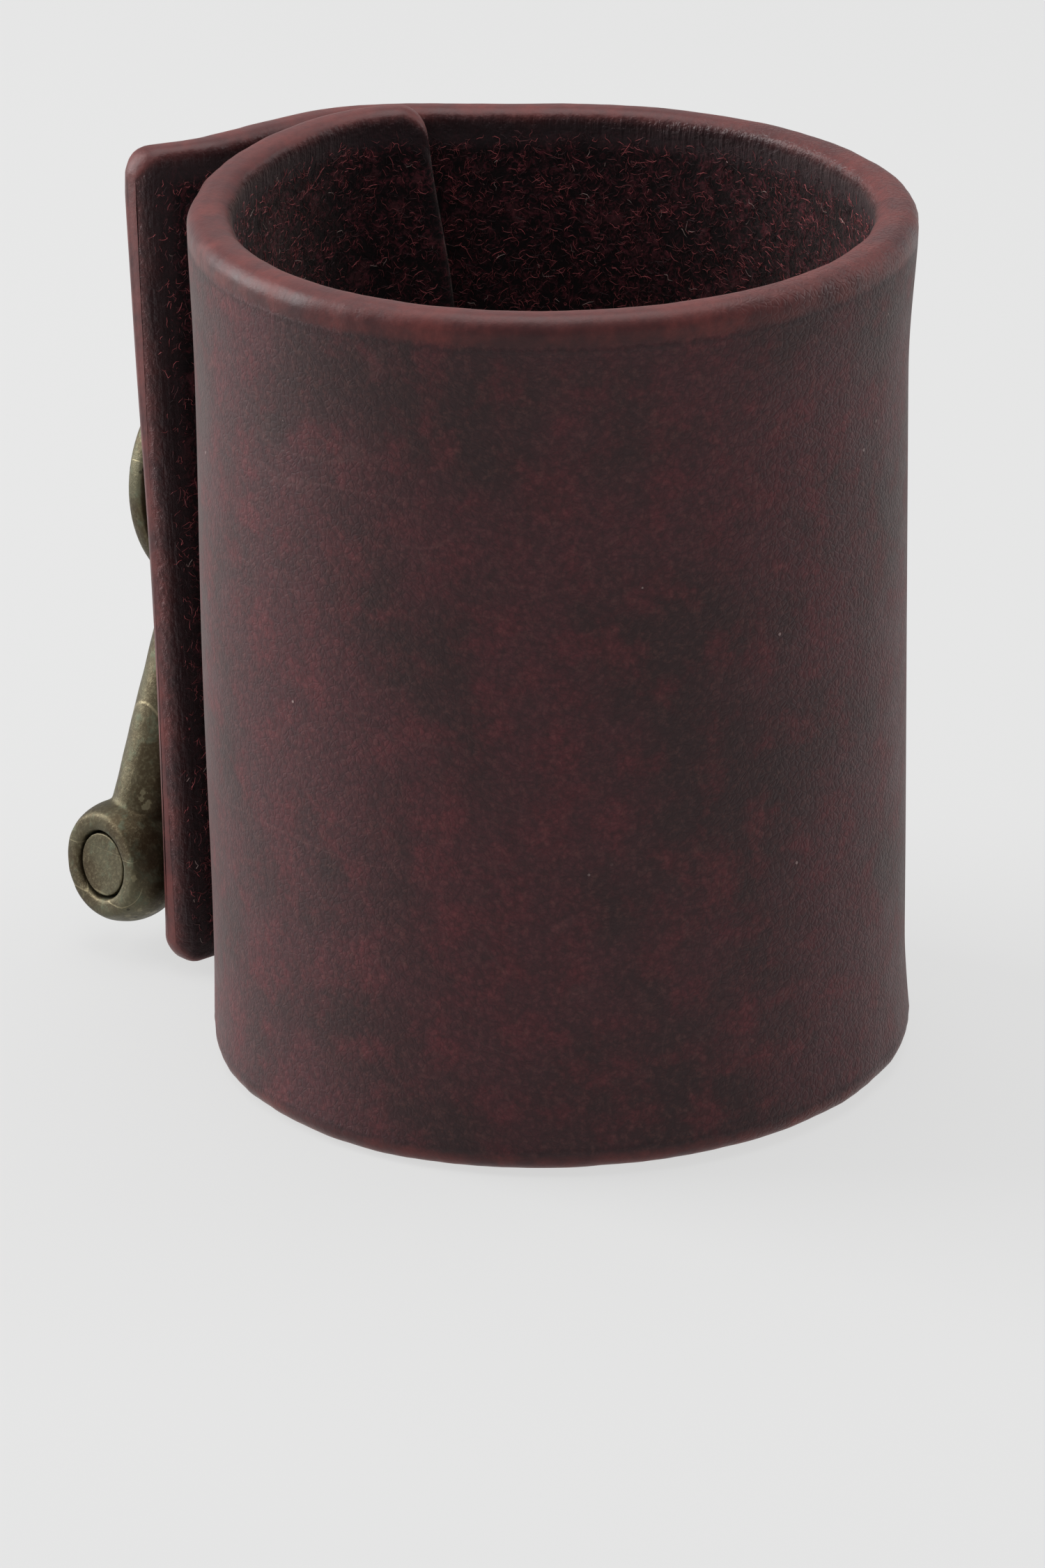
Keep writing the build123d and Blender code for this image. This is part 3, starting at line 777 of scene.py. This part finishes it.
shader.inputs["Sheen Weight"].default_value = 0.15
shader.inputs["Sheen Roughness"].default_value = 0.34
shader.inputs["Sheen Tint"].default_value = srgb(214, 190, 180)
wrap.data.materials.append(leather_material)

# %% The fibres' material: mostly dark wine, a few pale
fibre_material, tree, shader = new_material("leather_fibre")
shade = attribute(tree, "shade")
tone = blend(tree, between(tree, shade, 0.25, 0.97), srgb(48, 18, 23), srgb(182, 86, 88))
tone = blend(tree, math(tree, "GREATER_THAN", shade, 0.985), tone, srgb(186, 160, 152))
tree.links.new(tone, shader.inputs["Base Color"])
shader.inputs["Roughness"].default_value = 0.62
for piece in naps:
    piece.data.materials.append(fibre_material)

# %% [markdown]
# ### Antique brass
# Cast brass is dipped to darken it, then tumbled, so the high places are rubbed back to a dull
# yellow-grey and the hollows stay brown and green. Three clouds mix those colours; scratches and
# rubbed edges are brighter and smoother.


# %% The brass material, in an aged and a plainer form
def brass(name, dark, olive, worn, green_share, scale=150.0):
    """Patina from clouds, bright scratches, dark pits and rubbed edges."""
    material, tree, shader = new_material(name)
    where = add(tree, "ShaderNodeTexCoord", 3)
    cloud = use(tree, clouds, Vector=where, Scale=scale)
    lines = use(tree, scratch, Vector=where, Scale=120.0, Width=0.006)
    pits = use(tree, specks, Vector=where, Scale=900.0, Size=0.16)
    edges = add(tree, "ShaderNodeNewGeometry", 7)
    base = blend(tree, between(tree, cloud["Large"], 0.35, 0.65), dark, olive)
    base = blend(tree, between(tree, cloud["Middle"], 0.52, 0.72, 0.0, green_share), base, srgb(96, 104, 86))
    base = blend(tree, between(tree, cloud["Fine"], 0.45, 0.75, 0.0, 0.5), base, worn)
    rubbed = between(tree, edges, 0.515, 0.56, 0.0, 0.7)
    base = blend(tree, rubbed, base, worn)
    base = blend(tree, math(tree, "MULTIPLY", lines["Mask"], 0.3), base, srgb(190, 176, 140))
    base = blend(tree, math(tree, "MULTIPLY", pits["Mask"], 0.7), base, srgb(40, 36, 28))
    tree.links.new(base, shader.inputs["Base Color"])
    rough = between(tree, cloud["Middle"], 0.3, 0.7, 0.44, 0.58)
    rough = math(tree, "SUBTRACT", rough, math(tree, "MULTIPLY", lines["Mask"], 0.12))
    tree.links.new(math(tree, "SUBTRACT", rough, math(tree, "MULTIPLY", rubbed, 0.10)), shader.inputs["Roughness"])
    relief = math(tree, "ADD", math(tree, "MULTIPLY", cloud["Fine"], 1.0), math(tree, "MULTIPLY", cloud["Middle"], 1.2))
    relief = math(tree, "SUBTRACT", relief, math(tree, "MULTIPLY", lines["Mask"], 0.35))
    relief = math(tree, "SUBTRACT", relief, math(tree, "MULTIPLY", pits["Mask"], 0.8))
    bump = add(tree, "ShaderNodeBump", Strength=0.35, Distance=0.00012, Height=relief)
    tree.links.new(bump, shader.inputs["Normal"])
    shader.inputs["Metallic"].default_value = 0.85
    return material


aged = brass("antique_brass", srgb(70, 60, 43), srgb(90, 86, 68), srgb(120, 112, 88), 0.6)
plain = brass("worn_bush_brass", srgb(150, 128, 84), srgb(170, 150, 104), srgb(200, 180, 130), 0.15)
steel = brass("blackened_steel", srgb(62, 60, 58), srgb(84, 82, 80), srgb(140, 138, 134), 0.05)
for piece in (cap, cap_foot, outer_washer, wall_washer, shackle, pin):
    piece.data.materials.append(aged)
bush.data.materials.append(plain)
for node, finish in (("stud_core", aged), ("stud_screw", aged), ("pin_set_screw", steel)):
    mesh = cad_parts[node].data
    mesh.materials.clear()
    mesh.materials.append(finish)
print("materials:", [m.name for m in bpy.data.materials])

# %% [markdown]
# ## Room, light and camera
# The object stands on a plain pale floor. The room is given in its own axes, X to the right and Y
# away from the viewer; the object is turned in it, so one function brings room places to the model's
# axes. Two tall soft lights stand behind and beside the object and graze its sides, and a wide soft
# light hangs above.

# %% Room places, floor and lights
room_centre = np.array([0.0, 0.8, 0.0])


def from_room(place):
    """A room place in millimetres as a model place in metres: turned back about the vertical."""
    x, y, z = np.asarray(place, float) - room_centre
    c, s = np.cos(room_turn), np.sin(room_turn)
    return np.array([c * x + s * y, -s * x + c * y + axis_y, z]) * MM


def direction_from_room(vector):
    """A room direction as a model direction."""
    return (from_room(vector) - from_room((0, 0, 0))) / MM


floor_size = 4.0
floor_mesh = bpy.data.meshes.new("floor")
corners = [(-floor_size, -floor_size, 0), (floor_size, -floor_size, 0), (floor_size, floor_size, 0), (-floor_size, floor_size, 0)]
floor_mesh.from_pydata(corners, [], [(0, 1, 2, 3)])
floor = bpy.data.objects.new("floor", floor_mesh)
bpy.context.scene.collection.objects.link(floor)
floor_material, tree, shader = new_material("pale_floor")
shader.inputs["Base Color"].default_value = srgb(90, 90, 90)
shader.inputs["Roughness"].default_value = 0.9
shader.inputs["Specular IOR Level"].default_value = 0.0
shader.inputs["Emission Color"].default_value = (1.0, 1.0, 0.995, 1.0)
shader.inputs["Emission Strength"].default_value = 0.635
floor_mesh.materials.append(floor_material)


def soft_light(name, place, aim, width, height, power, colour=(1, 1, 1)):
    """A rectangular light at a room place, turned to face a room point."""
    data = bpy.data.lights.new(name, "AREA")
    data.shape, data.size, data.size_y = "RECTANGLE", width * MM, height * MM
    data.energy, data.color = power, colour
    light = bpy.data.objects.new(name, data)
    bpy.context.scene.collection.objects.link(light)
    light.location = from_room(place)
    from mathutils import Vector
    light.rotation_euler = Vector(from_room(aim) - from_room(place)).to_track_quat("-Z", "Y").to_euler()
    return light


soft_light("left_bank", (-620, 160, 330), (0, 0, 45), 420, 620, 6.8)
soft_light("right_bank", (640, 240, 300), (0, 0, 45), 360, 560, 1.4)
soft_light("top_bank", (40, 120, 800), (0, 0, 40), 700, 700, 4.6)
world = bpy.data.worlds.new("soft_room")
world.use_nodes = True
world.node_tree.nodes["Background"].inputs["Color"].default_value = (0.93, 0.95, 1.0, 1)
world.node_tree.nodes["Background"].inputs["Strength"].default_value = 0.42
bpy.context.scene.world = world
bpy.context.scene.view_settings.view_transform = "Standard"

# %% The camera: a long lens looking down at the sleeve
from mathutils import Matrix
pitch, roll = np.radians(22.11), np.radians(-0.83)
look = np.array([0, np.cos(pitch), -np.sin(pitch)])
rise_axis = np.array([0, np.sin(pitch), np.cos(pitch)])
right = np.array([1.0, 0, 0])
right, rise_axis = right * np.cos(roll) + rise_axis * np.sin(roll), rise_axis * np.cos(roll) - right * np.sin(roll)
camera_data = bpy.data.cameras.new("camera")
camera_data.lens, camera_data.sensor_width = 160.0, 36.0
camera_data.clip_start = 0.02
camera = bpy.data.objects.new("camera", camera_data)
bpy.context.scene.collection.objects.link(camera)
pose = np.eye(4)
pose[:3, 0], pose[:3, 1], pose[:3, 2] = (direction_from_room(v) for v in (right, rise_axis, -look))
pose[:3, 3] = from_room((-3.4, -592.0, 265.6))
camera.matrix_world = Matrix(pose.tolist())
bpy.context.scene.camera = camera
